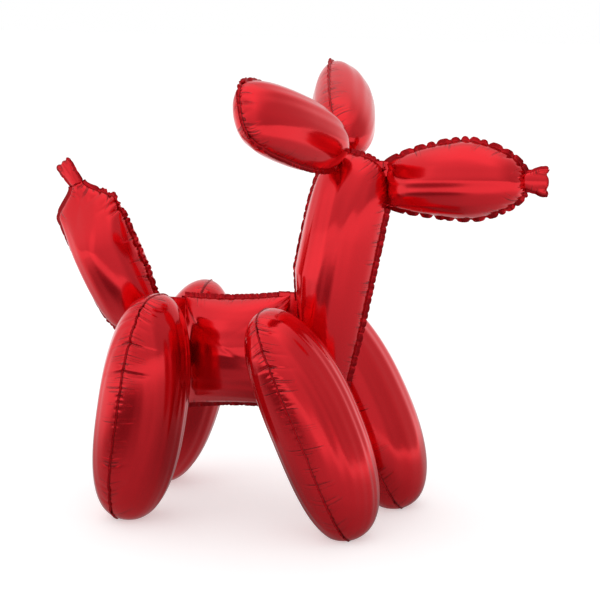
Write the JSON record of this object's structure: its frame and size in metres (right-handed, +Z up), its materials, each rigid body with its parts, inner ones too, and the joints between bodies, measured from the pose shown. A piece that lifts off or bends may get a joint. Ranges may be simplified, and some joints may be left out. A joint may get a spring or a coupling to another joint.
{
  "type": "foil dog balloon",
  "caption": "Standing dog made of blown-up foil balloons: long tail, body, neck and muzzle, rounded legs in pairs and two upswept ears.",
  "frame": {"origin": "on the floor, below the middle of the dog's bounding box", "axes": "+Z up, +X along the dog towards its muzzle, +Y to its left"},
  "size_m": [0.9532, 0.5698, 0.8366],
  "materials": {
    "red_foil": "mirror-bright metallised film"
  },
  "bodies": {
    "root": {"torso_balloon": "red_foil", "ear_balloon": "red_foil", "front_leg_balloon": "red_foil", "hind_leg_balloon": "red_foil"}
  },
  "joints": []
}
